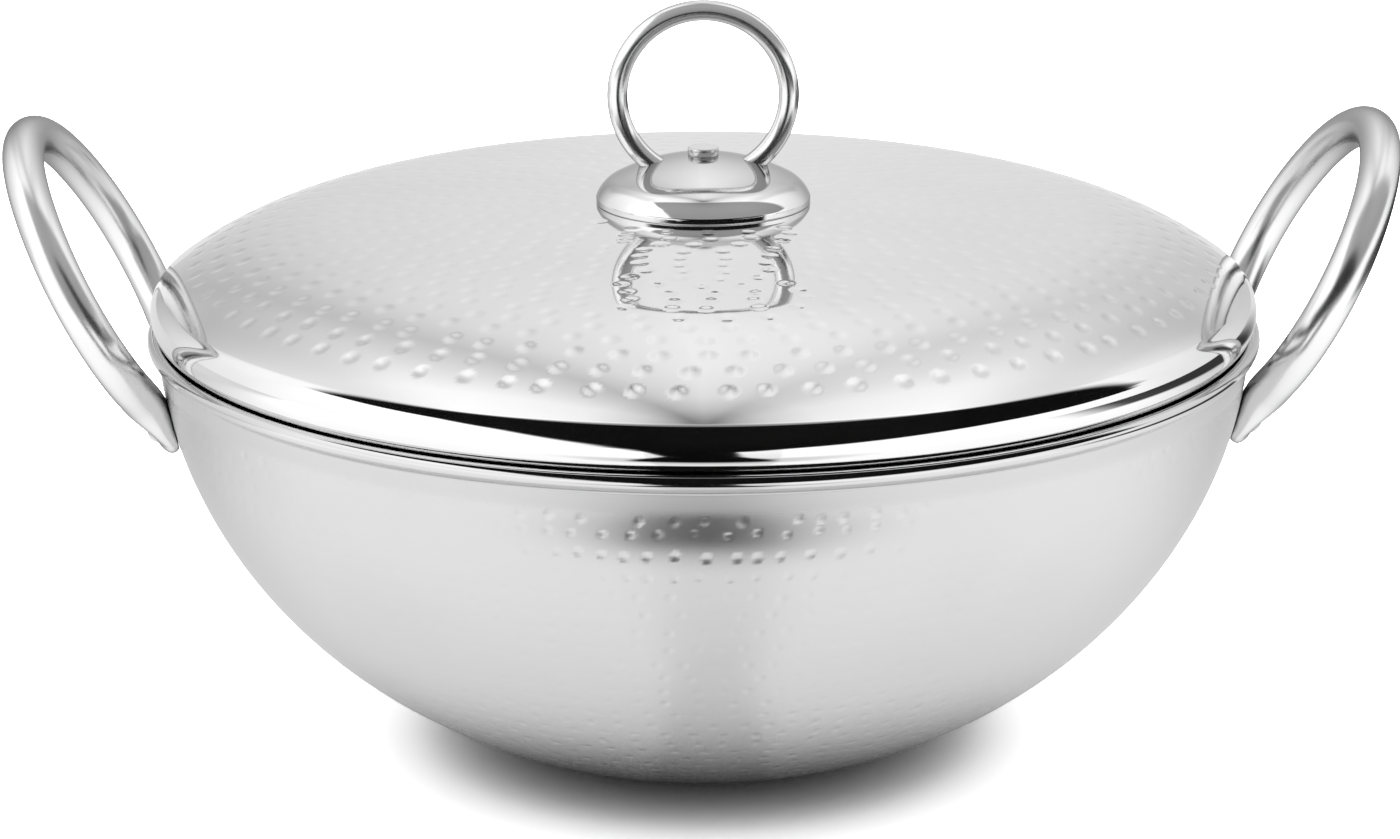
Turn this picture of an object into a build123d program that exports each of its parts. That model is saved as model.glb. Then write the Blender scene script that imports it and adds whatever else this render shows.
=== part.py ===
"""Kadai: a deep round-bottomed steel pan with a rolled rim, two riveted rod handles and a domed lid.

Millimetres, +Z up. The origin is the centre of the flat base, and the handles lie along X.
"""
import os
from math import asin, cos, degrees, hypot, radians, sin, sqrt, tan

from build123d import *

os.makedirs("parts", exist_ok=True)

# Bowl: one pressed sheet whose outside is an upright ellipse turned about Z
rim_r = 130.0
bead_r = 1.7
bowl_sheet = 1.2
bowl_curve_h = 110.5
equator_above_rim = 4.5
base_r = 36.0

# Handles: a round rod bent to one loop in a leaning plane, with forged feet on the wall
rod_r = 4.75
handle_out = 26.7
handle_rise = 44.4
loop_width = 80.2
loop_crown_angle = 62.5
loop_leg = 16.0
foot_spacing = 47.0
foot_drop = 18.0
foot_width = 13.0
foot_thick = 4.6
foot_bulge = 3.2
foot_blend = 13.0
foot_blend_steps = 6
foot_tip = 5.4
foot_tip_steps = 6
foot_tip_share = 0.95

# Rivets of the handles
rivet_r = 2.2
rivet_head_r = 2.9
rivet_head_h = 1.9
rivet_head_sink = 0.5
rivet_inner_r = 4.0
rivet_inner_h = 1.2
rivet_inner_gap = 0.12

# Lid: one pressed sheet with a flat crown, a round shoulder, a tight nose and a tucked skirt
lid_overhang = 0.65
lid_sheet = 1.0
lid_nose_r = 6.8
lid_shoulder_r = 80.0
lid_crown_angle = 4.0
lid_shoulder_angle = 34.8
lid_seat_gap = 0.3
lid_skirt = 6.5
lid_skirt_taper = 7.0

# Knob: a pressed cap, an open wire ring, and a rivet with a washer inside the lid
cap_r = 25.0
cap_sheet = 1.2
cap_crown_r = 45.0
cap_crown_angle = 28.0
cap_side_angle = 70.0
cap_band = 1.3
ring_r = 19.9
ring_wire_r = 2.4
ring_rise = 14.0
ring_end_angle = 28.5
knob_rivet_r = 2.5
knob_head_r = 3.65
knob_head_h = 1.9
knob_head_round = 0.45
washer_r = 8.0
washer_thick = 1.0
peen_r = 4.4
peen_h = 1.4

# Clearance of pieces that are fastened together, and the overrun of every cut
fit = 0.05
overrun = 6.0

# Places on the bowl's ellipse
inside_curve_h = bowl_curve_h - bowl_sheet
mouth_r = rim_r - 2 * bead_r
inside_r = mouth_r / sqrt(1 - (equator_above_rim / inside_curve_h) ** 2)
outside_r = inside_r + bowl_sheet
equator_h = bowl_curve_h * sqrt(1 - (base_r / outside_r) ** 2)
rim_h = equator_h - equator_above_rim
bead_centre_r = rim_r - bead_r
handle_reach = rim_r + handle_out


def wall_seat(side, end):
    """The point, outward normal and level tangent of the bowl's outside where a foot is riveted."""
    depth = equator_above_rim + foot_drop
    wall_r = outside_r * sqrt(1 - (depth / bowl_curve_h) ** 2)
    turn = asin(foot_spacing / 2 / wall_r)
    slope_out = wall_r / outside_r**2
    slope_down = depth / bowl_curve_h**2
    size = hypot(slope_out, slope_down)
    level = Vector(side * cos(turn), end * sin(turn), 0)
    point = level * wall_r + Vector(0, 0, equator_h - depth)
    normal = level * (slope_out / size) - Vector(0, 0, slope_down / size)
    tangent = Vector(-end * side * sin(turn), cos(turn), 0)
    return point, normal, tangent


def bowl_curve(radius, height, start_level):
    """An arc of one of the bowl's ellipses, from a level below its centre up to the rim."""
    start = degrees(asin(start_level / height))
    end = -degrees(asin(equator_above_rim / height))
    return EllipticalCenterArc((0, equator_h), radius, height, start, arc_size=end - start)


def seat_profile_plane(side, end):
    """A plane whose X runs along the wall and whose Y is the wall's outward normal at a foot."""
    point, normal, tangent = wall_seat(side, end)
    return Plane(origin=point, x_dir=tangent, z_dir=tangent.cross(normal))


# Bowl
with BuildPart() as bowl:
    with BuildSketch(Plane.XZ) as bowl_section:
        with BuildLine():
            outer = bowl_curve(outside_r, bowl_curve_h, -equator_h)
            inner = bowl_curve(inside_r, inside_curve_h, bowl_sheet - equator_h)
            Polyline(outer @ 0, (0, 0), (0, bowl_sheet), inner @ 0)
            Line(outer @ 1, inner @ 1)
        make_face()
    revolve(axis=Axis.Z)
    with BuildSketch(Plane.XZ) as bead_section:
        with Locations((bead_centre_r, rim_h)):
            Circle(bead_r)
    revolve(axis=Axis.Z)
    for side in (-1, 1):
        for end in (-1, 1):
            point, normal, tangent = wall_seat(side, end)
            with BuildSketch(Plane(origin=point, z_dir=normal)):
                Circle(rivet_r + fit)
            extrude(amount=bowl_sheet + overrun, both=True, mode=Mode.SUBTRACT)
bowl.part.label = "bowl"
export_step(bowl.part, "parts/bowl.step")


# Handles
def foot_centre(side):
    """The centre of the back foot's section, just outside the wall."""
    point, normal, tangent = wall_seat(side, 1)
    return point + normal * (foot_thick - foot_bulge)


def loop_plane(side):
    """The leaning plane of a loop, from its crown down through its feet, with X along +Y."""
    apex = Vector(side * handle_reach, 0, rim_h + handle_rise)
    foot = foot_centre(side)
    up = apex - Vector(foot.X, 0, foot.Z)
    return Plane(origin=apex, x_dir=(0, 1, 0), z_dir=Vector(0, 1, 0).cross(up))


def side_arc_size(leg_turn, foot):
    """The radius of a loop's side arc whose tangent leg leans inward by that angle to the foot."""
    return (loop_width / 2 - foot.X - loop_leg * sin(leg_turn)) / (1 - cos(leg_turn))


def solve_leg_turn(foot):
    """The inward lean at which the leg, the side arc and the crown arc share their tangents."""
    crown_share = tan(radians(loop_crown_angle) / 2)
    low = radians(5)
    high = radians(85)
    for step in range(50):
        turn = (low + high) / 2
        side_r = side_arc_size(turn, foot)
        side_top = foot.Y + loop_leg * cos(turn) + side_r * (sin(turn) + 1)
        if side_top + (loop_width / 2 - side_r) * crown_share > 0:
            low = turn
        else:
            high = turn
    return turn


def make_handle(side):
    """One handle: half of the loop with its foot, then its mirror image across the XZ plane."""
    point, normal, tangent = wall_seat(side, 1)
    centre = foot_centre(side)
    plane = loop_plane(side)
    foot = plane.to_local_coords(centre)
    leg_turn = solve_leg_turn(foot)
    side_r = side_arc_size(leg_turn, foot)
    crown_r = side_r + (loop_width / 2 - side_r) / sin(radians(loop_crown_angle))
    side_centre = (
        loop_width / 2 - side_r,
        (crown_r - side_r) * cos(radians(loop_crown_angle)) - crown_r,
    )
    crown_end = 90 - loop_crown_angle
    with BuildPart() as handle:
        with BuildLine(plane) as path:
            CenterArc((0, -crown_r), crown_r, 90, crown_end - 90)
            side_arc = CenterArc(side_centre, side_r, crown_end, -degrees(leg_turn) - crown_end)
            leg_way = (centre - side_arc @ 1).normalized()
            Line(side_arc @ 1, centre - leg_way * foot_blend)
        start = path.wire()
        with BuildSketch(Plane(origin=start @ 0, z_dir=start % 0)):
            Circle(rod_r)
        sweep(path=start)
        foot_way = (leg_way - normal * leg_way.dot(normal)).normalized()
        foot_level = foot_way.cross(normal)
        for step in range(foot_blend_steps + 1):
            flat_share = (1 - cos(radians(180) * step / foot_blend_steps)) / 2
            place = centre - leg_way * (foot_blend * (1 - step / foot_blend_steps))
            way = leg_way + (foot_way - leg_way) * flat_share
            with BuildSketch(Plane(origin=place, x_dir=foot_level, z_dir=way)):
                Ellipse(
                    rod_r + (foot_width / 2 - rod_r) * flat_share,
                    rod_r + (foot_bulge - rod_r) * flat_share,
                )
        loft()
        for step in range(foot_tip_steps + 1):
            tip_turn = asin(foot_tip_share) * step / foot_tip_steps
            place = centre + foot_way * (foot_tip * sin(tip_turn))
            with BuildSketch(Plane(origin=place, x_dir=foot_level, z_dir=foot_way)):
                Ellipse(foot_width / 2 * cos(tip_turn), foot_bulge * cos(tip_turn))
        loft()
        with BuildSketch(Plane.XZ) as wall_section:
            with BuildLine():
                wall = bowl_curve(outside_r + fit, bowl_curve_h + fit, -equator_h)
                Polyline(wall @ 0, (0, 0), (0, rim_h), wall @ 1)
            make_face()
        revolve(axis=Axis.Z, mode=Mode.SUBTRACT)
        with BuildSketch(Plane(origin=point, z_dir=normal)):
            Circle(rivet_r + fit)
        extrude(amount=foot_thick + overrun, mode=Mode.SUBTRACT)
        with BuildSketch(Plane(origin=point + normal * (foot_thick - rivet_head_sink - fit), z_dir=normal)):
            Circle(rivet_head_r + fit)
        extrude(amount=overrun, mode=Mode.SUBTRACT)
        mirror(about=Plane.XZ)
    return handle


for side, side_name in ((-1, "left"), (1, "right")):
    handle = make_handle(side)
    handle.part.label = "handle_" + side_name
    export_step(handle.part, "parts/handle_" + side_name + ".step")


# Rivets: a low dome outside on the foot, a shank through the wall and a flat dome inside
def make_rivet(side, end):
    """The rivet of one foot, turned about the wall's normal."""
    point, normal, tangent = wall_seat(side, end)
    head_base = foot_thick - rivet_head_sink
    inner_base = -bowl_sheet - rivet_inner_gap
    with BuildPart() as rivet:
        with BuildSketch(seat_profile_plane(side, end)):
            with BuildLine():
                Polyline(
                    (0, head_base + rivet_head_h), (0, inner_base - rivet_inner_h),
                    (rivet_inner_r / 2, inner_base - rivet_inner_h),
                    (rivet_inner_r, inner_base), (rivet_r, inner_base),
                    (rivet_r, head_base), (rivet_head_r, head_base),
                )
                dome_r = (rivet_head_r**2 + rivet_head_h**2) / (2 * rivet_head_h)
                dome_turn = degrees(asin(rivet_head_r / dome_r))
                CenterArc((0, head_base + rivet_head_h - dome_r), dome_r, 90 - dome_turn, dome_turn)
            make_face()
        revolve(axis=Axis(point, normal))
    return rivet


for side, side_name in ((-1, "left"), (1, "right")):
    for end, end_name in ((-1, "front"), (1, "back")):
        rivet = make_rivet(side, end)
        rivet.part.label = "rivet_" + side_name + "_" + end_name
        export_step(rivet.part, "parts/rivet_" + side_name + "_" + end_name + ".step")


# Lid: arcs that share tangents, from the crown out over the shoulder and nose to the skirt
seat_r = bead_r + lid_seat_gap
nose_to_bead = lid_nose_r + seat_r
seat_turn = radians(180) - asin((lid_nose_r - lid_overhang) / nose_to_bead)
nose_centre = (bead_centre_r - nose_to_bead * sin(seat_turn), rim_h - nose_to_bead * cos(seat_turn))
shoulder_turn = radians(lid_shoulder_angle)
crown_turn = radians(lid_crown_angle)
shoulder_centre = (
    nose_centre[0] - (lid_shoulder_r - lid_nose_r) * sin(shoulder_turn),
    nose_centre[1] - (lid_shoulder_r - lid_nose_r) * cos(shoulder_turn),
)
lid_crown_r = lid_shoulder_r + shoulder_centre[0] / sin(crown_turn)
crown_centre = (0, shoulder_centre[1] - (lid_crown_r - lid_shoulder_r) * cos(crown_turn))
lid_top_h = crown_centre[1] + lid_crown_r
skirt_turn = radians(90 + lid_skirt_taper)


def lid_side(inset):
    """One side of the lid's sheet, drawn from the axis to the end of the skirt."""
    arc_ends = (
        (crown_centre, lid_crown_r - inset, 90, -lid_crown_angle),
        (shoulder_centre, lid_shoulder_r - inset, 90 - lid_crown_angle, lid_crown_angle - lid_shoulder_angle),
        (nose_centre, lid_nose_r - inset, 90 - lid_shoulder_angle, lid_shoulder_angle - degrees(seat_turn)),
    )
    arcs = [CenterArc(centre, radius, start, size) for centre, radius, start, size in arc_ends]
    turn_back = CenterArc(
        (bead_centre_r, rim_h), seat_r + inset,
        270 - degrees(seat_turn), degrees(seat_turn - skirt_turn),
    )
    skirt_way = Vector(cos(skirt_turn), -sin(skirt_turn))
    skirt = Line(turn_back @ 1, turn_back @ 1 + skirt_way * lid_skirt)
    return arcs[0] @ 0, skirt @ 1


with BuildPart() as lid:
    with BuildSketch(Plane.XZ) as lid_section:
        with BuildLine():
            top_start, top_end = lid_side(0)
            under_start, under_end = lid_side(lid_sheet)
            Line(top_start, under_start)
            Line(top_end, under_end)
        make_face()
    revolve(axis=Axis.Z)
    with BuildSketch(Plane.XY.offset(lid_top_h)):
        Circle(knob_rivet_r + fit)
    extrude(amount=lid_sheet + overrun, both=True, mode=Mode.SUBTRACT)
lid.part.label = "lid"
export_step(lid.part, "parts/lid.step")


# Knob cap
cap_base_h = crown_centre[1] + sqrt(lid_crown_r**2 - cap_r**2) + fit
cap_crown_turn = radians(cap_crown_angle)
cap_side_turn = radians(cap_side_angle)
cap_side_r = (cap_r - cap_crown_r * sin(cap_crown_turn)) / (sin(cap_side_turn) - sin(cap_crown_turn))
cap_side_centre = (
    cap_r - cap_side_r * sin(cap_side_turn),
    cap_base_h + cap_band - cap_side_r * cos(cap_side_turn),
)
cap_top_h = cap_side_centre[1] - (cap_crown_r - cap_side_r) * cos(cap_crown_turn) + cap_crown_r
ring_centre_h = cap_top_h + ring_rise


def cap_half(inset):
    """One side of the cap's sheet, from its axis to the foot of its band."""
    crown = CenterArc((0, cap_top_h - cap_crown_r), cap_crown_r - inset, 90, -cap_crown_angle)
    CenterArc(cap_side_centre, cap_side_r - inset, 90 - cap_crown_angle, cap_crown_angle - cap_side_angle)
    shoulder_end = (
        cap_side_centre[0] + (cap_side_r - inset) * sin(cap_side_turn),
        cap_side_centre[1] + (cap_side_r - inset) * cos(cap_side_turn),
    )
    foot = (shoulder_end[0], cap_base_h)
    Line(shoulder_end, foot)
    return crown @ 0, foot


def make_ring(wire_r):
    """The open ring in the XZ plane, bent from wire of the given radius."""
    with BuildPart() as ring:
        with BuildLine(Plane.XZ) as ring_path:
            CenterArc((0, ring_centre_h), ring_r, ring_end_angle - 90, 360 - 2 * ring_end_angle)
        ring_wire = ring_path.wire()
        with BuildSketch(Plane(origin=ring_wire @ 0, z_dir=ring_wire % 0)):
            Circle(wire_r)
        sweep(path=ring_wire)
    return ring


knob_ring = make_ring(ring_wire_r)
knob_ring.part.label = "knob_ring"
export_step(knob_ring.part, "parts/knob_ring.step")
ring_hole = make_ring(ring_wire_r + fit)

with BuildPart() as knob_cap:
    with BuildSketch(Plane.XZ) as cap_section:
        with BuildLine():
            top_start, top_end = cap_half(0)
            under_start, under_end = cap_half(cap_sheet)
            Line(top_start, under_start)
            Line(top_end, under_end)
        make_face()
    revolve(axis=Axis.Z)
    with BuildSketch(Plane.XY.offset(cap_top_h)):
        Circle(knob_rivet_r + fit)
    extrude(amount=cap_sheet + overrun, both=True, mode=Mode.SUBTRACT)
    add(ring_hole.part, mode=Mode.SUBTRACT)
knob_cap.part.label = "knob_cap"
export_step(knob_cap.part, "parts/knob_cap.step")


# Knob rivet and its washer, under the middle of the lid
washer_top_h = lid_top_h - lid_sheet - fit
washer_base_h = washer_top_h - washer_thick

with BuildPart() as knob_rivet:
    with BuildSketch(Plane.XZ):
        with BuildLine():
            Polyline(
                (0, washer_base_h - fit - peen_h), (0, cap_top_h + knob_head_h),
                (knob_head_r - knob_head_round, cap_top_h + knob_head_h),
                (knob_head_r, cap_top_h + knob_head_h - knob_head_round),
                (knob_head_r, cap_top_h), (knob_rivet_r, cap_top_h),
                (knob_rivet_r, washer_base_h - fit), (peen_r, washer_base_h - fit),
                (peen_r / 2, washer_base_h - fit - peen_h), (0, washer_base_h - fit - peen_h),
            )
        make_face()
    revolve(axis=Axis.Z)
knob_rivet.part.label = "knob_rivet"
export_step(knob_rivet.part, "parts/knob_rivet.step")

with BuildPart() as knob_washer:
    with BuildSketch(Plane.XY.offset(washer_base_h)):
        Circle(washer_r)
        Circle(knob_rivet_r + fit, mode=Mode.SUBTRACT)
    extrude(amount=washer_thick)
knob_washer.part.label = "knob_washer"
export_step(knob_washer.part, "parts/knob_washer.step")

print("rim height", round(rim_h, 2), "lid crown height", round(lid_top_h, 2), "cap top", round(cap_top_h, 2))
print("lid crown radius", round(lid_crown_r, 1))
print("total height", round(ring_centre_h + ring_r + ring_wire_r, 2))
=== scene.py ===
"""A hammered steel kadai with its lid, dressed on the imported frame.

The object's sizes are in millimetres until make_object turns them into metres. Profiles are points of (r, z).
"""
import math
import random

import bpy
import numpy as np
from mathutils import Matrix, Vector


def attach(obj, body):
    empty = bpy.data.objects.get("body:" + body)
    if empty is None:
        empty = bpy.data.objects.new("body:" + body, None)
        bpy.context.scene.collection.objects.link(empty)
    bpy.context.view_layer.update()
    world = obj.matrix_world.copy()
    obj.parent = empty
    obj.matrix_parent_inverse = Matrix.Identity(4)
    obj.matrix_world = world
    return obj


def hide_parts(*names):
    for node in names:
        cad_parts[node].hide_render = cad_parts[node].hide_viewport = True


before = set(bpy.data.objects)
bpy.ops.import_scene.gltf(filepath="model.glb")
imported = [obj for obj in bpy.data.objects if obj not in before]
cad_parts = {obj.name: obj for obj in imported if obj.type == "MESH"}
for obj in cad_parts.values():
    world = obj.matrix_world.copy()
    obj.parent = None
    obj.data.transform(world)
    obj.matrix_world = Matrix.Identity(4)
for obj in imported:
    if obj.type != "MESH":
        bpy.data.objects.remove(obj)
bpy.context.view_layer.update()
MM = 0.001

# Sizes of the solids
rim_r = 130.0
bead_r = 1.7
bowl_sheet = 1.2
bowl_curve_h = 110.5
equator_above_rim = 4.5
base_r = 36.0
handle_out = 26.7
handle_rise = 44.4
loop_width = 80.2
loop_crown_angle = math.radians(62.5)
loop_leg = 16.0
rod_r = 4.75
foot_spacing = 47.0
foot_drop = 18.0
foot_width = 13.0
foot_thick = 4.6
foot_bulge = 3.2
foot_blend = 13.0
foot_tip = 5.4
rivet_head_r = 2.9
rivet_head_h = 1.9
rivet_sink = 0.5
rivet_shank_r = 2.2
rivet_inner_r = 4.0
rivet_inner_h = 1.2
rivet_inner_gap = 0.12
lid_overhang = 0.65
lid_sheet = 1.0
lid_nose_r = 6.8
lid_shoulder_r = 80.0
lid_crown_turn = math.radians(4.0)
lid_shoulder_turn = math.radians(34.8)
lid_seat_gap = 0.3
lid_skirt = 6.5
lid_skirt_turn = math.radians(97.0)
cap_r = 25.0
cap_sheet = 1.2
cap_crown_r = 45.0
cap_crown_turn = math.radians(28.0)
cap_side_turn = math.radians(70.0)
cap_band = 1.3
ring_r = 19.9
ring_wire_r = 2.4
ring_rise = 14.0
ring_end_turn = math.radians(28.5)
knob_head_r = 3.65
knob_head_h = 1.9
knob_rivet_r = 2.5
washer_r = 8.0
washer_thick = 1.0
peen_r = 4.4
peen_h = 1.4
fit = 0.05

# Places that follow from the sizes
inside_curve_h = bowl_curve_h - bowl_sheet
inside_r = (rim_r - 2 * bead_r) / math.sqrt(1 - (equator_above_rim / inside_curve_h) ** 2)
outside_r = inside_r + bowl_sheet
equator_h = bowl_curve_h * math.sqrt(1 - (base_r / outside_r) ** 2)
rim_h = equator_h - equator_above_rim
bead_centre_r = rim_r - bead_r


# How many points lie round the turned pieces and along a handle
bowl_columns, lid_columns, cap_columns, small_columns, pin_columns = 1152, 900, 192, 64, 48
crown_points, side_points, blend_steps, tip_steps = 30, 40, 22, 14


# Meshes
def make_object(name, verts, faces, material, normals=None):
    """A smooth-shaded mesh object from points in millimetres."""
    mesh = bpy.data.meshes.new(name)
    mesh.from_pydata([tuple(v) for v in np.asarray(verts) * MM], [], faces)
    mesh.polygons.foreach_set("use_smooth", [True] * len(mesh.polygons))
    if normals is not None:
        mesh.normals_split_custom_set_from_vertices([tuple(n) for n in normals])
    mesh.materials.append(material)
    mesh.update()
    obj = bpy.data.objects.new(name, mesh)
    bpy.context.scene.collection.objects.link(obj)
    return obj


def arc(centre, radius, start, end, steps):
    """Points of an arc in the (r, z) plane, with angles measured from +Z towards +r."""
    turns = np.linspace(start, end, steps)
    return np.stack([centre[0] + radius * np.sin(turns), centre[1] + radius * np.cos(turns)], -1)


def runs(path):
    """How far along a path each of its points lies."""
    return np.concatenate([[0], np.cumsum(np.hypot(*np.diff(path, axis=0).T))])


def resample(path, step):
    """The same path with points about step apart. step may be a function of the length run so far."""
    path = np.asarray(path, float)
    run = runs(path)
    places = [0.0]
    while places[-1] < run[-1]:
        places.append(places[-1] + (step(places[-1]) if callable(step) else step))
    places = np.array(places[:-1] + [run[-1]]) if run[-1] - places[-2] > 0.01 else np.array(places[:-1])
    return np.stack([np.interp(places, run, path[:, 0]), np.interp(places, run, path[:, 1])], -1)


def revolve(name, rows, columns, material, field=None):
    """A solid turned about Z, with exact normals.

    rows goes round the profile with the solid on its left. field fills in the depth of the relief over the
    surface and its slopes along the rows and round the axis.
    """
    rows = np.asarray(rows, float)
    count = len(rows)
    ahead = np.gradient(rows[:, 0]), np.gradient(rows[:, 1])
    size = np.hypot(*ahead)
    size[size == 0] = 1
    tangent = np.stack([ahead[0] / size, ahead[1] / size], -1)
    normal = np.stack([tangent[:, 1], -tangent[:, 0]], -1)
    turn = np.arange(columns) * (2 * math.pi / columns)
    depth = np.zeros((count, columns))
    slope_run = np.zeros((count, columns))
    slope_round = np.zeros((count, columns))
    if field is not None:
        field(rows, turn, depth, slope_run, slope_round)
    r = rows[:, :1] + normal[:, :1] * depth
    z = rows[:, 1:] + normal[:, 1:] * depth
    cosine, sine = np.cos(turn), np.sin(turn)
    points = np.stack([r * cosine, r * sine, np.broadcast_to(z, r.shape)], -1)
    way_r = normal[:, :1] - tangent[:, :1] * slope_run
    way_z = normal[:, 1:] - tangent[:, 1:] * slope_run
    ways = np.stack([way_r * cosine + slope_round * sine, way_r * sine - slope_round * cosine, way_z], -1)
    ways /= np.linalg.norm(ways, axis=2, keepdims=True)
    closed_start = rows[0, 0] < 1e-9
    closed_end = rows[-1, 0] < 1e-9
    first = 1 if closed_start else 0
    last = count - 1 if closed_end else count
    verts = points[first:last].reshape(-1, 3)
    normals = ways[first:last].reshape(-1, 3)
    grid = np.arange((last - first) * columns).reshape(last - first, columns)
    near = np.roll(grid, -1, axis=1)
    quads = np.stack([grid[:-1], near[:-1], near[1:], grid[1:]], -1).reshape(-1, 4).tolist()
    if closed_start:
        centre = len(verts)
        verts = np.vstack([verts, [[0, 0, rows[0, 1]]]])
        normals = np.vstack([normals, [[0, 0, -1]]])
        quads += [(centre, int(b), int(a)) for a, b in zip(grid[0], near[0])]
    if closed_end:
        centre = len(verts)
        verts = np.vstack([verts, [[0, 0, rows[-1, 1]]]])
        normals = np.vstack([normals, [[0, 0, 1]]])
        quads += [(centre, int(a), int(b)) for a, b in zip(grid[-1], near[-1])]
    return make_object(name, verts, quads, material, normals)


def press_dimples(marks, rows, turn, depth, slope_run, slope_round, first, last):
    """Adds round dents to the rows from first to last. A mark is (run along the rows, turn, radius, depth)."""
    run = runs(rows)
    columns = len(turn)
    pitch = 2 * math.pi / columns
    for place, angle, radius, deep in marks:
        low = max(first, int(np.searchsorted(run, place - radius)))
        high = min(last, int(np.searchsorted(run, place + radius)))
        if high <= low:
            continue
        ring = float(np.interp(place, run, rows[:, 0]))
        reach = int(radius / ring / pitch) + 1
        middle = int(round(angle / pitch))
        cols = np.arange(middle - reach, middle + reach + 1)
        across = (cols * pitch - angle)[None, :] * rows[low:high, :1]
        along = (run[low:high] - place)[:, None]
        share = 1 - (across**2 + along**2) / radius**2
        share = np.where(share > 0, share, 0)
        block = np.ix_(np.arange(low, high), cols % columns)
        depth[block] -= deep * share**2
        slope_run[block] += 4 * deep * share * along / radius**2
        slope_round[block] += 4 * deep * share * across / radius**2


# Materials
class Graph:
    """A short way to write shader nodes."""

    def __init__(self, owner):
        self.nodes = owner.node_tree.nodes
        self.links = owner.node_tree.links

    def node(self, kind, *sources):
        """A new node whose first inputs are linked to the given outputs."""
        node = self.nodes.new("ShaderNode" + kind)
        for slot, source in enumerate(sources):
            self.links.new(source, node.inputs[slot])
        return node

    def math(self, operation, *values):
        """A math node's result. Each value is a number or an output."""
        node = self.nodes.new("ShaderNodeMath")
        node.operation = operation
        for slot, value in enumerate(values):
            if isinstance(value, (int, float)):
                node.inputs[slot].default_value = value
            else:
                self.links.new(value, node.inputs[slot])
        return node.outputs[0]

    def times(self, first, *others):
        """The product of all the values."""
        for other in others:
            first = self.math("MULTIPLY", first, other)
        return first

    def rest(self, value):
        """1 minus the value."""
        return self.math("SUBTRACT", 1.0, value)

    def degrees(self, value):
        return self.math("MULTIPLY", value, 180 / math.pi)

    def length(self, x, y):
        """The length of a level vector."""
        node = self.node("VectorMath", self.node("CombineXYZ", x, y).outputs[0])
        node.operation = "LENGTH"
        return node.outputs["Value"]

    def place(self, output="Object"):
        """Where a point is, as a vector."""
        return self.nodes.new("ShaderNodeTexCoord").outputs[output]

    def parts(self, vector):
        """The x, y and z of a vector."""
        axes = self.node("SeparateXYZ", vector)
        return axes.outputs["X"], axes.outputs["Y"], axes.outputs["Z"]

    def step(self, value, low, high, start=0.0, end=1.0, shape="SMOOTHSTEP"):
        """Goes from start to end while the value goes from low to high, and stays there."""
        node = self.nodes.new("ShaderNodeMapRange")
        node.interpolation_type = shape
        for name, number in (("From Min", low), ("From Max", high), ("To Min", start), ("To Max", end)):
            node.inputs[name].default_value = number
        self.links.new(value, node.inputs["Value"])
        return node.outputs["Result"]

    def within(self, value, low, high, soft):
        """1 between two limits and 0 outside them, with soft edges."""
        return self.times(self.step(self.math("SUBTRACT", value, low), -soft, soft),
                          self.step(self.math("SUBTRACT", high, value), -soft, soft))

    def curve(self, value, low, high, points, out_low, out_high):
        """A line through points, for values from low to high, with results from out_low to out_high."""
        node = self.nodes.new("ShaderNodeFloatCurve")
        share = self.math("DIVIDE", self.math("SUBTRACT", value, low), high - low)
        self.links.new(share, node.inputs["Value"])
        line = node.mapping.curves[0]
        scaled = [((x - low) / (high - low), (y - out_low) / (out_high - out_low)) for x, y in points]
        line.points[0].location = scaled[0]
        line.points[1].location = scaled[-1]
        for place in scaled[1:-1]:
            line.points.new(*place)
        for point in line.points:
            point.handle_type = "VECTOR"
        node.mapping.update()
        return self.math("ADD", self.math("MULTIPLY", node.outputs["Value"], out_high - out_low), out_low)

    def noise(self, vector, scale, detail=2.0):
        """Even noise from 0 to 1, most of it from 0.3 to 0.7."""
        node = self.nodes.new("ShaderNodeTexNoise")
        node.inputs["Scale"].default_value = scale
        node.inputs["Detail"].default_value = detail
        self.links.new(vector, node.inputs["Vector"])
        return node.outputs["Fac"]

    def spread(self, noise, low, high):
        """Noise stretched to the range from low to high."""
        return self.step(noise, 0.3, 0.7, low, high, "LINEAR")

    def blend(self, factor, first, second):
        """A colour between two others."""
        node = self.nodes.new("ShaderNodeMix")
        node.data_type = "RGBA"
        node.inputs["A"].default_value = (*first, 1)
        node.inputs["B"].default_value = (*second, 1)
        self.links.new(factor, node.inputs["Factor"])
        return node.outputs["Result"]

    def bump(self, height, depth, under=None):
        """The normal over a relief of the given depth in millimetres, laid on another relief's normal."""
        node = self.nodes.new("ShaderNodeBump")
        node.inputs["Distance"].default_value = depth * MM
        self.links.new(height, node.inputs["Height"])
        if under is not None:
            self.links.new(under, node.inputs["Normal"])
        return node.outputs["Normal"]


# Scales of the steel's noises, per metre, and how bright its duller places are
cloud_scale, smear_scale = 28, 260
wave_scale, line_scale = 75, 2600
dull_share = 0.955


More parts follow.
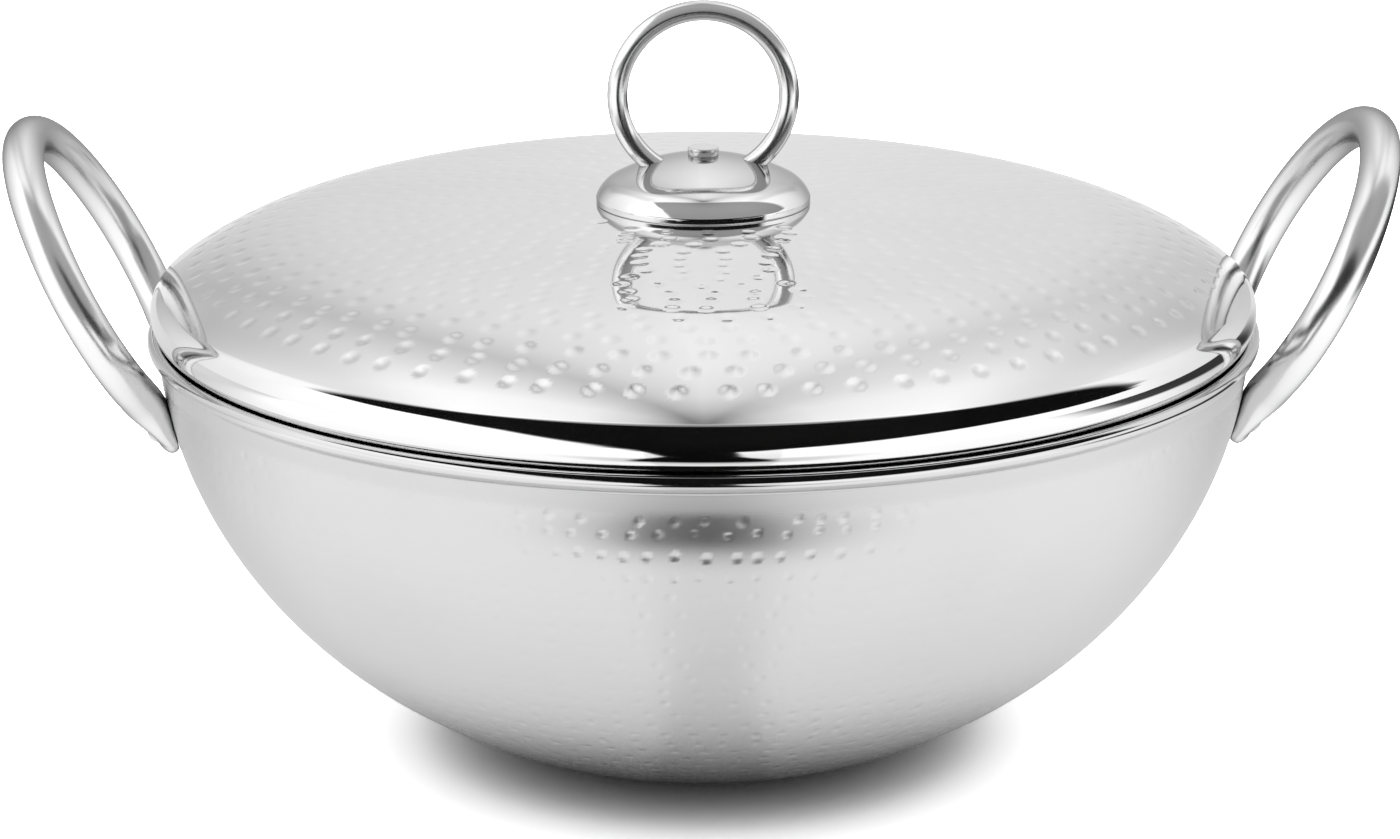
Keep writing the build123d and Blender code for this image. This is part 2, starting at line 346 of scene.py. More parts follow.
def steel(name, colour, rough, spread=0.03, lines=0.0, waves=0.0, grain=1.0, edge=1.0, brushed=0.0, levels=()):
    """Steel with an uneven polish and, where they are asked for, waves, turning lines and a brushed grain.

    Each of levels is a change of the roughness with the height: (height, half its width, how much is added).
    """
    material = bpy.data.materials.new(name)
    material.use_nodes = True
    g = Graph(material)
    shader = g.nodes["Principled BSDF"]
    shader.inputs["Metallic"].default_value = 1.0
    shader.inputs["Specular Tint"].default_value = (edge, edge, edge, 1)
    where = g.place()
    x, y, z = g.parts(where)
    cloud = g.noise(where, cloud_scale * grain, 4)
    smear = g.noise(where, smear_scale * grain, 3)
    tint = g.blend(g.spread(cloud, 0, 1), [c * dull_share for c in colour], colour)
    g.links.new(tint, shader.inputs["Base Color"])
    clouded = g.spread(cloud, rough - spread / 2, rough + spread / 4)
    roughness = g.math("ADD", clouded, g.spread(smear, 0, spread / 4))
    for height, half, extra in levels:
        roughness = g.math("ADD", roughness, g.step(z, (height - half) * MM, (height + half) * MM, 0.0, extra))
    g.links.new(roughness, shader.inputs["Roughness"])
    if brushed:
        shader.inputs["Anisotropic"].default_value = brushed
        around = g.node("Tangent")
        around.direction_type = "RADIAL"
        around.axis = "Z"
        g.links.new(around.outputs[0], shader.inputs["Tangent"])
    normal = None
    if waves:
        normal = g.bump(g.noise(where, wave_scale), waves)
    if lines:
        turned = g.node("CombineXYZ", g.length(x, y), z)
        normal = g.bump(g.noise(turned.outputs[0], line_scale, 3), lines, normal)
    if normal is not None:
        g.links.new(normal, shader.inputs["Normal"])
    return material


def grey(tone):
    return (tone, tone, tone)


# The bowl is rougher on the plain strip below its rim and bright on the bead itself
bowl_steel = steel("bowl_steel", grey(0.65), 0.23, lines=0.0003, brushed=0.9,
                   levels=((rim_h - 7.0, 1.5, 0.1), (rim_h - 1.9, 0.15, -0.26)))
lid_steel = steel("lid_steel", grey(0.82), 0.055, lines=0.0003, waves=0.004)
bright_steel = steel("bright_steel", grey(0.82), 0.07, lines=0.0002, edge=0.6)
ring_steel = steel("ring_steel", grey(0.85), 0.2, edge=0.35)
handle_steel = steel("handle_steel", grey(0.83), 0.24, waves=0.003, grain=1.6, edge=0.35)
rivet_steel = steel("rivet_steel", grey(0.76), 0.28, spread=0.06, waves=0.01, grain=3.0)


# Bowl
def bowl_arc(radius, height, start_level, end_level, steps):
    """Points of one of the bowl's ellipses between two levels measured from its centre."""
    turns = np.linspace(math.asin(start_level / height), math.asin(end_level / height), steps)
    return np.stack([radius * np.cos(turns), equator_h + height * np.sin(turns)], -1)


# The steps of the wall's rows: how long the close ones go on below the rim, and how long the change takes
close_rows_step, far_rows_step = 0.7, 1.2
close_rows_length, rows_change_length = 50, 40


def wall_step(run):
    """Rows lie close together near the rim, where the dents are seen best, and further apart below."""
    below = max(0, outer_length - close_rows_length - run) / rows_change_length
    return close_rows_step + (far_rows_step - close_rows_step) * min(1, below)


outer = bowl_arc(outside_r, bowl_curve_h, -equator_h, -equator_above_rim, 600)
outer_run = runs(outer)
outer_length = outer_run[-1]
wall_rows = resample(outer, wall_step)
wall_keep = wall_rows[wall_rows[:, 1] < rim_h - bead_r - 0.4]
underside = [(0, 0)] + [(r, 0) for r in np.linspace(4, base_r - 1.5, 14)]
# The bead is drawn a hair smaller, so that it stays inside the CAD model's box
bead_rows = arc((bead_centre_r, rim_h), bead_r - 0.02, math.pi / 2 + 0.9, -math.pi / 2, 40)
inner = bowl_arc(inside_r, inside_curve_h, -equator_above_rim, bowl_sheet - equator_h, 200)
floor_rows = [(r, bowl_sheet) for r in np.linspace(inner[-1, 0] - 2, 3, 10)] + [(0, bowl_sheet)]
bowl_rows = np.vstack([underside, wall_keep, bead_rows, resample(inner, 3.0)[1:], floor_rows])
wall_first = len(underside)
wall_last = wall_first + len(wall_keep)
wall_start_run = float(runs(bowl_rows[:wall_first + 1])[-1])

# Rings of dents down the bowl, measured from the rim: the first ones are uneven, and the rest evenly spaced
bowl_first_ring, bowl_last_ring = 8.8, 12.0
bowl_ring_gaps, bowl_ring_gap = (3.1, 5.2, 5.4, 4.9), 4.8
bowl_dent_pitch, bowl_dent_depth = 6.0, 0.09
crowded_rings, crowded_pitch = (2, 3), 5.3
shallow_rings, shallow_depth = 3, 0.085
skipped_share = 0.15  # of the first ring's dents


def bowl_dents(dice):
    """The marks of the bowl's dents."""
    marks = []
    drop = bowl_first_ring
    index = 0
    while drop < outer_length - bowl_last_ring:
        row_place = wall_start_run + outer_length - drop
        ring = float(np.interp(outer_length - drop, outer_run, outer[:, 0]))
        pitch = crowded_pitch if index in crowded_rings else bowl_dent_pitch
        deep = shallow_depth if index < shallow_rings else bowl_dent_depth
        angle = dice.random()
        stop = angle + 2 * math.pi
        while angle < stop - 0.6 * pitch / ring:
            left_out = index == 0 and dice.random() < skipped_share
            if not left_out:
                marks.append((
                    row_place + dice.uniform(-0.45, 0.45), angle % (2 * math.pi),
                    dice.uniform(1.3, 1.6), deep * dice.uniform(0.8, 1.15),
                ))
            angle += pitch / ring * dice.uniform(0.78, 1.3)
        drop += bowl_ring_gaps[index] if index < len(bowl_ring_gaps) else bowl_ring_gap + dice.uniform(-0.2, 0.2)
        index += 1
    return marks


dice = random.Random(7)
bowl_marks = bowl_dents(dice)


def bowl_field(rows, turn, depth, slope_run, slope_round):
    press_dimples(bowl_marks, rows, turn, depth, slope_run, slope_round, wall_first, wall_last)


bowl = revolve("bowl_body", bowl_rows, bowl_columns, bowl_steel, bowl_field)


# Lid
seat_r = bead_r + lid_seat_gap
nose_to_bead = lid_nose_r + seat_r
seat_turn = math.pi - math.asin((lid_nose_r - lid_overhang) / nose_to_bead)
nose_centre = (bead_centre_r - nose_to_bead * math.sin(seat_turn), rim_h - nose_to_bead * math.cos(seat_turn))
shoulder_centre = (
    nose_centre[0] - (lid_shoulder_r - lid_nose_r) * math.sin(lid_shoulder_turn),
    nose_centre[1] - (lid_shoulder_r - lid_nose_r) * math.cos(lid_shoulder_turn),
)
lid_crown_r = lid_shoulder_r + shoulder_centre[0] / math.sin(lid_crown_turn)
crown_centre = (0, shoulder_centre[1] - (lid_crown_r - lid_shoulder_r) * math.cos(lid_crown_turn))
lid_top_h = crown_centre[1] + lid_crown_r


def lid_side(inset, step_top, nose_points):
    """One face of the lid's sheet, from the axis to the end of its skirt, and how many points its top has."""
    crown = arc(crown_centre, lid_crown_r - inset, 0, lid_crown_turn, 200)
    shoulder = arc(shoulder_centre, lid_shoulder_r - inset, lid_crown_turn, lid_shoulder_turn, 200)
    nose = arc(nose_centre, lid_nose_r - inset, lid_shoulder_turn, seat_turn, nose_points)
    tuck = arc((bead_centre_r, rim_h), seat_r + inset, seat_turn - math.pi, lid_skirt_turn - math.pi, 14)
    way = np.array([math.cos(lid_skirt_turn), -math.sin(lid_skirt_turn)])
    skirt = tuck[-1] + way * np.linspace(0, lid_skirt, 7)[1:, None]
    top = resample(np.vstack([crown, shoulder[1:]]), step_top)
    return np.vstack([top, nose[1:], tuck[1:], skirt]), len(top)


lid_out, lid_top_rows = lid_side(0, 0.75, 44)
lid_in = lid_side(lid_sheet, 3.0, 20)[0]
lid_rows = np.vstack([lid_in, lid_out[::-1]])
lid_first = len(lid_rows) - lid_top_rows
lid_run = float(runs(lid_rows)[-1])
lid_top = lid_out[:lid_top_rows]

# Rings of dents from the lid's shoulder to its knob
lid_first_ring, lid_last_ring = 118.4, 29.0
lid_ring_gap, lid_dent_pitch = 5.1, 9.4
deep_lid_rings, deep_lid_dent, lid_dent_depth = 3, 0.2, 0.15


def lid_dents(dice):
    """The marks of the lid's dents."""
    marks = []
    ring = lid_first_ring
    index = 0
    while ring > lid_last_ring:
        row_place = lid_run - float(np.interp(ring, lid_top[:, 0], runs(lid_top)))
        holes = round(2 * math.pi * ring / lid_dent_pitch)
        deep = deep_lid_dent if index < deep_lid_rings else lid_dent_depth
        offset = dice.random()
        for hole in range(holes):
            marks.append((
                row_place + dice.uniform(-0.35, 0.35),
                ((hole + offset + dice.uniform(-0.12, 0.12)) * 2 * math.pi / holes) % (2 * math.pi),
                dice.uniform(2.2, 2.6), deep * dice.uniform(0.9, 1.1),
            ))
        ring -= lid_ring_gap + dice.uniform(-0.15, 0.15)
        index += 1
    return marks


lid_marks = lid_dents(dice)


def lid_field(rows, turn, depth, slope_run, slope_round):
    press_dimples(lid_marks, rows, turn, depth, slope_run, slope_round, lid_first, len(rows) - 2)


lid = revolve("lid_sheet", lid_rows, lid_columns, lid_steel, lid_field)


# Knob
cap_base_h = crown_centre[1] + math.sqrt(lid_crown_r**2 - cap_r**2) + fit
cap_side_r = (cap_r - cap_crown_r * math.sin(cap_crown_turn)) / (
    math.sin(cap_side_turn) - math.sin(cap_crown_turn))
cap_side_centre = (
    cap_r - cap_side_r * math.sin(cap_side_turn),
    cap_base_h + cap_band - cap_side_r * math.cos(cap_side_turn),
)
cap_top_h = cap_side_centre[1] - (cap_crown_r - cap_side_r) * math.cos(cap_crown_turn) + cap_crown_r
ring_centre_h = cap_top_h + ring_rise


def cap_side(inset):
    """One face of the cap's sheet, from its axis to the foot of its band."""
    crown = arc((0, cap_top_h - cap_crown_r), cap_crown_r - inset, 0, cap_crown_turn, 30)
    side = arc(cap_side_centre, cap_side_r - inset, cap_crown_turn, cap_side_turn, 26)
    band = [(side[-1, 0], h) for h in np.linspace(side[-1, 1], cap_base_h, 6)[1:]]
    return np.vstack([crown, side[1:], band])


cap_rows = np.vstack([cap_side(cap_sheet), cap_side(0)[::-1]])
knob_cap = revolve("knob_base", cap_rows, cap_columns, bright_steel)


def tube(name, centres, widths, material, squeeze=None):
    """A closed tube through centres. Each of widths is (way across, half across, way up, half up)."""
    around = 40
    turns = np.arange(around) * (2 * math.pi / around)
    points = []
    for centre, (across, half_across, up, half_up) in zip(centres, widths):
        circle = np.cos(turns)[:, None] * across * half_across + np.sin(turns)[:, None] * up * half_up
        points.append(centre + circle)
    points = np.array(points)
    if squeeze is not None:
        points = squeeze(points.reshape(-1, 3)).reshape(points.shape)
    grid = np.arange(points.shape[0] * around).reshape(-1, around)
    near = np.roll(grid, -1, axis=1)
    faces = np.stack([grid[:-1], near[:-1], near[1:], grid[1:]], -1).reshape(-1, 4).tolist()
    verts = points.reshape(-1, 3)
    for row, flip in ((0, True), (-1, False)):
        centre = len(verts)
        verts = np.vstack([verts, [points[row].mean(0)]])
        ends = zip(near[row], grid[row]) if flip else zip(grid[row], near[row])
        faces += [(centre, int(a), int(b)) for a, b in ends]
    return make_object(name, verts, faces, material)


ring_turns = np.linspace(-math.pi + ring_end_turn, math.pi - ring_end_turn, 121)
ring_centres = [np.array([ring_r * math.sin(t), 0, ring_centre_h + ring_r * math.cos(t)]) for t in ring_turns]
ring_widths = [
    (np.array([math.sin(t), 0, math.cos(t)]), ring_wire_r, np.array([0, -1.0, 0]), ring_wire_r)
    for t in ring_turns
]
knob_ring = tube("knob_loop", ring_centres, ring_widths, ring_steel)

washer_top_h = lid_top_h - lid_sheet - fit
washer_base_h = washer_top_h - washer_thick
washer_edge = 0.3
peen_base = washer_base_h - fit
peen_low = peen_base - peen_h
peen_edge, peen_dome_r, peen_dome_turn = 0.4, 7.5, 0.42
head_top = cap_top_h + knob_head_h
head_edge = 0.45
rivet_rows = np.vstack([
    [(0, peen_low)],
    arc((0, peen_low + peen_dome_r), peen_dome_r, math.pi, math.pi - peen_dome_turn, 8)[1:],
    [(peen_r, peen_base - peen_edge), (peen_r, peen_base - 0.02), (knob_rivet_r, peen_base)],
    [(knob_rivet_r, h) for h in np.linspace(peen_base, cap_top_h, 4)[1:]],
    [(knob_head_r - 0.05, cap_top_h)],
    arc((knob_head_r - head_edge, head_top - head_edge), head_edge, math.pi / 2, 0, 7),
    [(knob_head_r * 0.5, head_top), (0, head_top)],
])
knob_rivet = revolve("knob_rivet_head", rivet_rows, small_columns, rivet_steel)
washer_rows = np.vstack([
    [(0, washer_base_h), (washer_r - washer_edge, washer_base_h), (washer_r, washer_base_h + washer_edge)],
    [(washer_r, washer_top_h - washer_edge), (washer_r - washer_edge, washer_top_h), (0, washer_top_h)],
])
knob_washer = revolve("knob_washer_disc", washer_rows, small_columns, rivet_steel)


# Handles
def wall_seat(side, end):
    """The point and the outward normal of the wall at a foot."""
    low = equator_above_rim + foot_drop
    wall_r = outside_r * math.sqrt(1 - (low / bowl_curve_h) ** 2)
    turn = math.asin(foot_spacing / 2 / wall_r)
    out, down = wall_r / outside_r**2, low / bowl_curve_h**2
    size = math.hypot(out, down)
    level = np.array([side * math.cos(turn), end * math.sin(turn), 0])
    up = np.array([0, 0, 1.0])
    return level * wall_r + up * (equator_h - low), level * out / size - up * down / size


def push_out(points):
    """Points inside the wall are moved straight out to just off its surface."""
    a, c = outside_r + fit, bowl_curve_h + fit
    r = np.hypot(points[:, 0], points[:, 1])
    level = points[:, 2] - equator_h
    share = np.sqrt((r / a) ** 2 + (level / c) ** 2)
    inside = (share < 1) & (points[:, 2] < rim_h)
    grown = points.copy()
    grown[inside, 0] /= share[inside]
    grown[inside, 1] /= share[inside]
    grown[inside, 2] = equator_h + level[inside] / share[inside]
    return grown


def handle_path(side):
    """Centres and section sizes of a whole handle, from the tip of one foot to the tip of the other."""
    point, normal = wall_seat(side, 1)
    foot = point + normal * (foot_thick - foot_bulge)
    crown = np.array([side * (rim_r + handle_out), 0, rim_h + handle_rise])
    up = crown - np.array([foot[0], 0, foot[2]])
    up /= np.linalg.norm(up)
    foot_x, foot_y = foot[1], float((foot - crown) @ up)
    share = math.tan(loop_crown_angle / 2)
    # The leg's lean at which the loop's height comes out right is found by halving
    low, high = math.radians(5), math.radians(85)
    for step in range(50):
        lean = (low + high) / 2
        side_r = (loop_width / 2 - foot_x - loop_leg * math.sin(lean)) / (1 - math.cos(lean))
        top = foot_y + loop_leg * math.cos(lean) + side_r * (math.sin(lean) + 1)
        if top + (loop_width / 2 - side_r) * share > 0:
            low = lean
        else:
            high = lean
    crown_r = side_r + (loop_width / 2 - side_r) / math.sin(loop_crown_angle)
    side_centre = (loop_width / 2 - side_r, (crown_r - side_r) * math.cos(loop_crown_angle) - crown_r)
    flat = []
    for t in np.linspace(0, loop_crown_angle, crown_points):
        flat.append((crown_r * math.sin(t), crown_r * (math.cos(t) - 1)))
    for t in np.linspace(loop_crown_angle, math.pi / 2 + lean, side_points)[1:]:
        flat.append((side_centre[0] + side_r * math.sin(t), side_centre[1] + side_r * math.cos(t)))
    half = [crown + np.array([0, u, 0]) + up * v for u, v in flat]
    leg_way = (foot - half[-1]) / np.linalg.norm(foot - half[-1])
    across_plane = np.cross(np.array([0, 1.0, 0]), up)
    if across_plane[0] * side < 0:
        across_plane = -across_plane
    stations = []
    for i, place in enumerate(half):
        way = half[min(i + 1, len(half) - 1)] - half[max(i - 1, 0)]
        way /= np.linalg.norm(way)
        stations.append((place, way, across_plane, rod_r, rod_r))
    start = foot - leg_way * foot_blend
    foot_way = leg_way - normal * (leg_way @ normal)
    foot_way /= np.linalg.norm(foot_way)
    for step in range(blend_steps + 1):
        ease = (1 - math.cos(math.pi * step / blend_steps)) / 2
        way = leg_way + (foot_way - leg_way) * ease
        up_way = across_plane + (normal - across_plane) * ease
        stations.append((
            start + (foot - start) * (step / blend_steps), way, up_way,
            rod_r + (foot_width / 2 - rod_r) * ease, rod_r + (foot_bulge - rod_r) * ease,
        ))
    for step in range(1, tip_steps + 1):
        tip = math.asin(0.985) * step / tip_steps
        stations.append((
            foot + foot_way * foot_tip * math.sin(tip), foot_way, normal,
            foot_width / 2 * math.cos(tip), foot_bulge * math.cos(tip),
        ))
    return stations


def make_handle(side, name):
    """One handle as a single closed tube, flattened where its feet lie on the wall."""
    half = handle_path(side)
    mirror = np.array([1, -1, 1])
    whole = [(p * mirror, -w * mirror, u * mirror, a, b) for p, w, u, a, b in half[:0:-1]] + half
    centres, widths = [], []
    for place, way, up, across, thick in whole:
        way = way / np.linalg.norm(way)
        up = up - way * (up @ way)
        up /= np.linalg.norm(up)
        centres.append(place)
        widths.append((np.cross(up, way), across, up, thick))
    return tube(name, centres, widths, handle_steel, push_out)


handle_left = make_handle(-1, "handle_left_rod")
handle_right = make_handle(1, "handle_right_rod")


# The inner head's outline, from its middle to its edge, as shares of its radius and height
rivet_inner_shape = (0, 1), (0.3, 1), (0.62, 0.86), (0.86, 0.55), (0.97, 0.2), (1, 0)


def make_rivet(side, end, name):
    """A domed rivet head outside on the foot, and a low one inside on the bowl's wall."""
    point, normal = wall_seat(side, end)
    head = foot_thick - rivet_sink
    inner = -bowl_sheet - rivet_inner_gap
    dome_r = (rivet_head_r**2 + rivet_head_h**2) / (2 * rivet_head_h)
    dome_turn = math.asin(rivet_head_r / dome_r)
    rows = np.vstack([
        [(rivet_inner_r * out, inner - rivet_inner_h * down) for out, down in rivet_inner_shape],
        [(rivet_shank_r, inner), (rivet_shank_r, head), (rivet_head_r - 0.02, head)],
        arc((0, head + rivet_head_h - dome_r), dome_r, dome_turn, 0, 14),
    ])
    obj = revolve(name, rows, pin_columns, rivet_steel)
    turned = Vector((0, 0, 1)).rotation_difference(Vector(normal)).to_matrix().to_4x4()
    obj.data.transform(Matrix.Translation(Vector(point) * MM) @ turned)
    return obj


rivets = {}
for side, side_name in ((-1, "left"), (1, "right")):
    for end, end_name in ((-1, "front"), (1, "back")):
        node = "rivet_%s_%s" % (side_name, end_name)
        rivets[node] = make_rivet(side, end, node + "_pin")


# What each piece stands for, and what it moves with
for piece, node, body, slot in (
    (bowl, "bowl", "pan", "hammered_steel"), (lid, "lid", "lid", "hammered_steel"),
    (knob_cap, "knob_cap", "lid", "polished_steel"), (knob_ring, "knob_ring", "lid", "polished_steel"),
    (knob_rivet, "knob_rivet", "lid", "rivet_steel"), (knob_washer, "knob_washer", "lid", "rivet_steel"),
    (handle_left, "handle_left", "pan", "polished_steel"),
    (handle_right, "handle_right", "pan", "polished_steel"),
    *((piece, node, "pan", "rivet_steel") for node, piece in rivets.items()),
):
    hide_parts(node)
    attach(piece, body)


# Studio, in metres. The tones of its cards follow from what the steel mirrors in the photograph.
# Angles round start at the front and go to the right.
dome_r = 3.0
hood_r = 0.065  # round the lid's edge
hood_rise = rim_h * MM + 0.006
hood_spread = 1.55  # how much wider the dark front looks from the hood's place than from the dome's
mat_h = 0.0006
card_black = 0.004


def only_reflected(obj):
    """A card that the steel reflects and that nothing else meets."""
    obj.visible_camera = False
    obj.visible_diffuse = False
    obj.visible_transmission = False
    obj.visible_volume_scatter = False
    obj.visible_shadow = False


def grid_object(name, points, material):
    """A sheet from a grid of points in metres."""
    rows, columns = points.shape[:2]
    grid = np.arange(rows * columns).reshape(rows, columns)
    faces = np.stack([grid[:-1, :-1], grid[:-1, 1:], grid[1:, 1:], grid[1:, :-1]], -1).reshape(-1, 4).tolist()
    return make_object(name, points.reshape(-1, 3) / MM, faces, material)


def card_material(name):
    """A card whose cover and tone are drawn by nodes: returns the material, its graph and its two inputs."""
    material = bpy.data.materials.new(name)
    material.use_nodes = True
    g = Graph(material)
    g.nodes.clear()
    tone = g.node("Emission")
    mix = g.node("MixShader")
    g.links.new(g.node("BsdfTransparent").outputs[0], mix.inputs[1])
    g.links.new(tone.outputs[0], mix.inputs[2])
    g.node("OutputMaterial", mix.outputs[0])
    return material, g, mix.inputs["Fac"], tone.inputs["Strength"]


def dark_front(g, azimuth, rise, leaning):
    """The outline of the dark front of the room, from degrees round, degrees up and a lean to the front."""
    left_edge = g.curve(rise, -10, 90, [
        (-10, -15), (0, -19), (10, -24), (18, -30), (38, -45), (50, -60), (57, -85), (60, -110), (64, -180),
        (90, -180)], -180, 180)
    right_edge = g.curve(rise, -10, 90, [
        (-10, 6), (-5, 12), (1, 20), (6, 30), (13, 45), (18, 60), (21, 95), (26, 180), (90, 180)], -180, 180)
    return g.times(g.within(azimuth, left_edge, right_edge, 3), g.step(leaning, 0.03, 0.13))


# The dome: pale walls, a darker front and top, and two slightly darker bands behind
dome_material, g, dome_cover, dome_tone = card_material("studio_dome")
unit = g.node("VectorMath", g.place())
unit.operation = "NORMALIZE"
x, y, z = g.parts(unit.outputs["Vector"])
azimuth = g.degrees(g.math("ARCTAN2", x, g.math("MULTIPLY", y, -1.0)))
rise = g.degrees(g.math("ARCSINE", z))
beside = g.math("ABSOLUTE", x)
dark = g.times(dark_front(g, azimuth, rise, g.math("SUBTRACT", g.math("MULTIPLY", beside, 0.25), y)), 0.75)
by_rise = g.curve(rise, -10, 90, [
    (-10, 0.84), (10, 0.86), (20, 0.89), (30, 0.95), (45, 1.04), (55, 1.07), (65, 1.06), (72, 1.0), (78, 0.92),
    (83, 0.7), (87, 0.4), (90, 0.15)], 0, 2)
by_side = g.curve(azimuth, -180, 180, [
    (-180, 0.97), (-165, 0.82), (-155, 0.62), (-142, 0.85), (-128, 1.12), (-105, 1.2), (-90, 1.4), (-60, 1.5),
    (0, 1.4), (60, 1.5), (90, 1.4), (105, 1.15), (128, 1.05), (142, 0.85), (155, 0.75), (165, 0.9),
    (180, 1)], 0, 2)
band = g.times(g.step(beside, 0.38, 0.52), g.step(beside, 0.62, 0.55), g.step(y, -0.02, 0.2),
               g.step(z, 0.3, 0.45, 0, 0.2))
first_bounce = g.math("LESS_THAN", g.node("LightPath").outputs["Diffuse Depth"], 0.5)
bright = g.times(by_rise, by_side, g.rest(band), first_bounce, g.math("SUBTRACT", 1.005, dark))
g.links.new(bright, dome_tone)
dome_cover.default_value = 1.0
around = np.linspace(0, 2 * math.pi, 97)
dome_points = np.array([
    np.stack([dome_r * math.cos(height) * np.cos(around), dome_r * math.cos(height) * np.sin(around),
              np.full(len(around), dome_r * math.sin(height) + rim_h * MM)], -1)
    for height in np.radians(np.linspace(-4, 90, 48))])
only_reflected(grid_object("studio_dome", dome_points, dome_material))

# A black hood round the lid's front edge, so that only this edge mirrors it in full
hood_material, g, hood_cover, hood_tone = card_material("studio_hood")
x, y, z = g.parts(g.place())
front = g.math("MULTIPLY", y, -1.0)
turned = g.math("MULTIPLY", g.math("ARCTAN2", x, front), hood_spread)
lifted = g.math("ARCTAN2", g.math("SUBTRACT", z, hood_rise), g.math("SUBTRACT", g.length(x, y), rim_r * MM))
leaning = g.math("ADD", g.math("MULTIPLY", g.math("ABSOLUTE", g.math("SINE", turned)), 0.25),
                 g.math("COSINE", turned))
leaning = g.times(leaning, g.math("COSINE", lifted))
g.links.new(dark_front(g, g.degrees(turned), g.degrees(lifted), leaning), hood_cover)
hood_tone.default_value = card_black
hood_points = np.array([[
    ((rim_r * MM + hood_r * math.cos(up)) * math.sin(turn), -(rim_r * MM + hood_r * math.cos(up)) * math.cos(turn),
     hood_rise + hood_r * math.sin(up))
    for turn in np.radians(np.linspace(-70, 75, 59))] for up in np.radians(np.linspace(-10, 86, 33))])
only_reflected(grid_object("studio_hood", hood_points, hood_material))

# The dark front of the table, in which the rim and the front of the wall are mirrored
mat_material, g, mat_cover, mat_tone = card_material("studio_mat")
x, y, z = g.parts(g.place())
ahead = g.math("MULTIPLY", y, -1.0)
left = g.curve(ahead, 0.1, 2.1, [
    (0.1, -0.05), (0.205, -0.05), (0.25, -0.056), (0.275, -0.054), (0.3, -0.05), (0.34, -0.049), (0.45, -0.08),
    (0.7, -0.15), (1, -0.23), (2.1, -0.5)], -0.5, 0.5)
right = g.curve(ahead, 0.1, 2.1, [
    (0.1, 0.036), (0.205, 0.036), (0.25, 0.04), (0.275, 0.036), (0.3, 0.03), (0.34, 0.027), (0.45, 0.035),
    (0.7, 0.052), (1, 0.08), (2.1, 0.17)], -0.5, 0.5)
# A black shape between two edges, a soft halo round its near end, and a faint strip from the pan to it
solid = g.times(g.within(x, left, right, 0.006), g.step(ahead, 0.21, 0.23))
wide = g.math("DIVIDE", x, 0.13)
deep = g.math("DIVIDE", g.math("SUBTRACT", ahead, 0.24), 0.05)
far = g.math("ADD", g.math("MULTIPLY", wide, wide), g.math("MULTIPLY", deep, deep))
halo = g.math("MULTIPLY", g.step(far, 1.0, 0.1), 0.35)
beyond = g.math("MAXIMUM", g.math("SUBTRACT", ahead, 0.118), 0.0)
strip_half = g.math("ADD", 0.0135, g.math("MULTIPLY", beyond, 0.24))
strip = g.step(g.math("SUBTRACT", strip_half, g.math("ABSOLUTE", x)), -0.002, 0.002, 0, 0.18)
g.links.new(g.rest(g.times(g.rest(halo), g.rest(strip), g.rest(solid))), mat_cover)
mat_tone.default_value = card_black
mat_points = np.array([[(across, along, mat_h) for across in np.linspace(-0.6, 0.6, 13)]
                       for along in np.linspace(-2.0, -0.04, 20)])
only_reflected(grid_object("studio_mat", mat_points, mat_material))

# Floor. The camera sees it as overexposed white that keeps its real shadow, with a painted contact shadow added
# near the pan. The steel mirrors it as a glow with painted shadow, dimmed by how open it lies.
floor_gain = 3.75
paper_grain = 900
floor_material = bpy.data.materials.new("studio_floor")
floor_material.use_nodes = True
g = Graph(floor_material)
paper = g.nodes["Principled BSDF"]
paper.inputs["Roughness"].default_value = 0.9
paper.inputs["Specular IOR Level"].default_value = 0.0
where = g.place()
x, y, z = g.parts(where)
g.links.new(g.blend(g.noise(where, paper_grain), grey(0.945), grey(0.955)), paper.inputs["Base Color"])


def openness(g, samples, distance):
    """How much of the sky over a point is free of things nearer than the distance."""
    node = g.node("AmbientOcclusion")
    node.samples = samples
    node.inputs["Distance"].default_value = distance
    return node.outputs["AO"]


# Painted shadow in what the steel mirrors: the floor's glow is dimmed by a curve of how open its sky is, standing
# in for the pan's shadow
mirrored = g.curve(openness(g, 8, 1.0), 0, 1, [
    (0, 0.0), (0.1, 0.015), (0.165, 0.07), (0.245, 0.28), (0.285, 0.44), (0.32, 0.62), (0.36, 0.8), (0.45, 0.97),
    (0.6, 1.05), (0.8, 1.18), (1, 1.24)], 0, 1.3)
reach = g.length(x, y)
heading = g.degrees(g.math("ARCTAN2", x, g.math("MULTIPLY", y, -1.0)))
# A dark place on the right-hand side, which the end of the lid's nose mirrors
gap = g.times(g.step(heading, 62, 84), g.step(heading, 150, 130), g.step(reach, 0.36, 0.45, 0, 0.95))
path = g.node("LightPath")
glow = g.node("Emission")
g.links.new(g.times(
    mirrored, g.step(y, -0.08, 0.14, 1.0, 0.6), g.step(reach, 0.25, 0.6, 1.0, 1.12), g.rest(gap),
    g.math("LESS_THAN", path.outputs["Diffuse Depth"], 0.5)), glow.inputs["Strength"])
# Painted contact shadow: the camera's floor colour gets darker where the pan nearly touches it, on top of its real
# shading
painted_contact_shadow = g.curve(openness(g, 12, 0.02), 0, 1, [(0, 0.12), (0.25, 0.5), (0.45, 0.95), (0.6, 1.0), (1, 1.0)], 0, 1)
shown = g.math("MULTIPLY", painted_contact_shadow, floor_gain)
white = g.node("BsdfDiffuse", g.node("CombineColor", shown, shown, shown).outputs[0])
mirroring = g.math("MAXIMUM", path.outputs["Is Glossy Ray"], path.outputs["Is Transmission Ray"])
unseen = g.node("MixShader", mirroring, paper.outputs[0], glow.outputs[0])
seen = g.node("MixShader", path.outputs["Is Camera Ray"], unseen.outputs[0], white.outputs[0])
g.links.new(seen.outputs[0], g.nodes["Material Output"].inputs["Surface"])
floor_points = np.array([np.stack([r * np.cos(around), r * np.sin(around), np.zeros(len(around))], -1)
                         for r in (0.001, 0.1, 0.3, 0.8, 1.6, 3.2)])
grid_object("studio_floor", floor_points, floor_material)

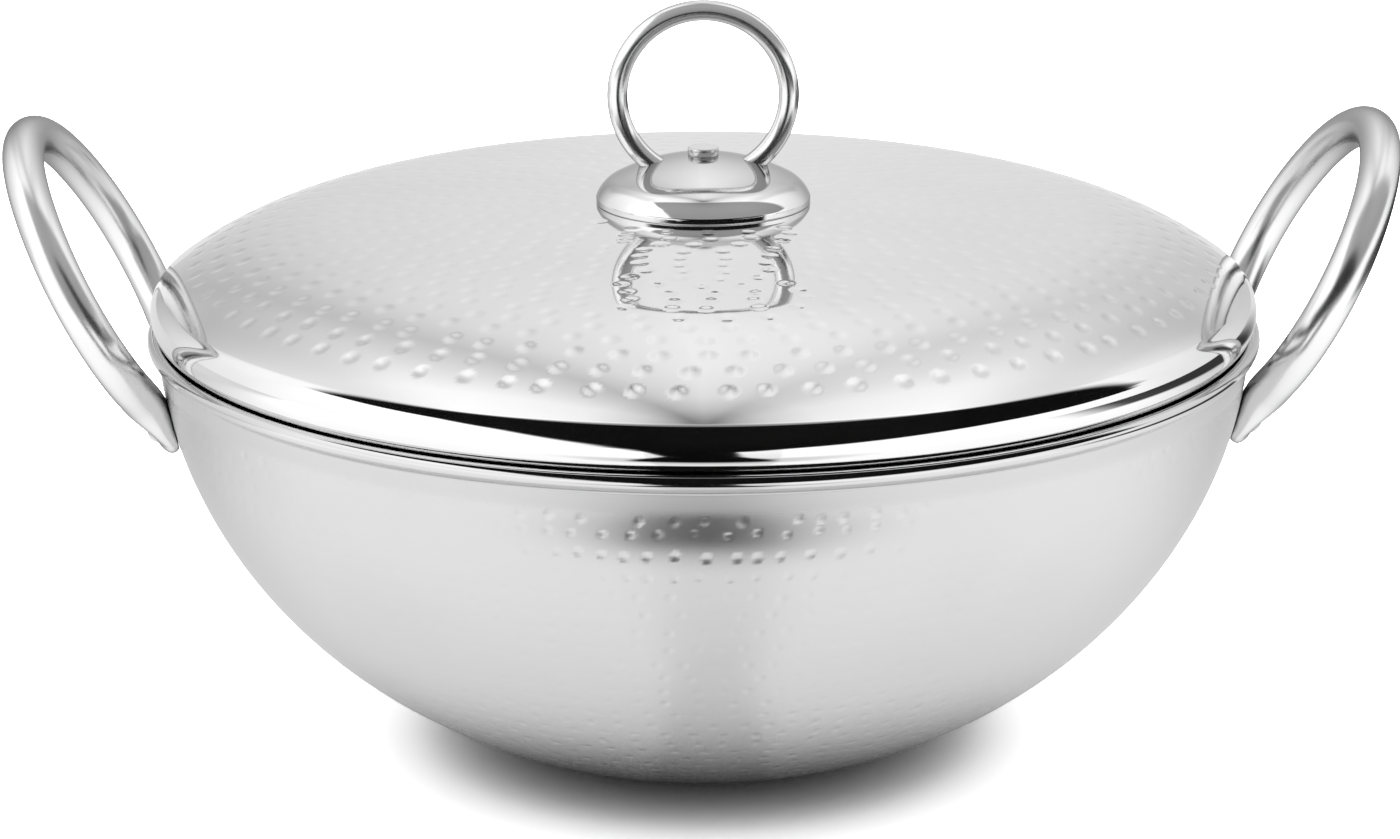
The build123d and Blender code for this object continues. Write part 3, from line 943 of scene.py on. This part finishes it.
# Light. The world is white where it is seen or mirrored, and a little weaker low down where it lights the floor.
world = bpy.data.worlds.new("studio")
bpy.context.scene.world = world
world.use_nodes = True
sky = world.node_tree.nodes["Background"]
sky.inputs["Color"].default_value = (1, 1, 1, 1)
g = Graph(world)
path = g.node("LightPath")
glossy = path.outputs["Is Glossy Ray"]
first_bounce = g.math("LESS_THAN", path.outputs["Diffuse Depth"], 0.5)
shown = g.math("MAXIMUM", path.outputs["Is Camera Ray"], g.math("MULTIPLY", glossy, first_bounce))
shown = g.math("MAXIMUM", shown, path.outputs["Is Transmission Ray"])
x, y, z = g.parts(g.place("Generated"))
lighting = g.times(g.rest(glossy), g.step(z, 0.0, 0.7, 0.6, 1.0))
g.links.new(g.math("MAXIMUM", shown, lighting), sky.inputs["Strength"])

lamp_data = bpy.data.lights.new("softbox", "AREA")
lamp_data.shape = "SQUARE"
lamp_data.size = 1.0
lamp_data.energy = 3.0
lamp = bpy.data.objects.new("softbox", lamp_data)
lamp.location = (0, 0.1, 1.6)
lamp.visible_glossy = False
lamp.visible_camera = False
bpy.context.scene.collection.objects.link(lamp)

# Camera at the photograph's angle
frame_width = 1400
focal_length = 3786.6
sensor = 36
camera_away = 0.9
elevation, heading, roll = math.radians(16.53), math.radians(1.526), -0.0016
target = Vector((-0.857, 0, rim_h - 24.585)) * MM

camera_data = bpy.data.cameras.new("camera")
camera_data.lens = focal_length / frame_width * sensor
camera_data.sensor_width = sensor
camera_data.clip_start = 0.05
camera = bpy.data.objects.new("camera", camera_data)
bpy.context.scene.collection.objects.link(camera)
forward = Vector((math.sin(heading) * math.cos(elevation), math.cos(heading) * math.cos(elevation),
                  -math.sin(elevation)))
level = Vector((math.cos(heading), -math.sin(heading), 0))
upright = level.cross(forward)
across = level * math.cos(roll) + upright * math.sin(roll)
above = upright * math.cos(roll) - level * math.sin(roll)
turn = Matrix((across, above, -forward)).transposed().to_4x4()
camera.matrix_world = Matrix.Translation(target - forward * camera_away) @ turn
bpy.context.scene.camera = camera
bpy.context.scene.view_settings.view_transform = "Standard"

bpy.context.view_layer.update()
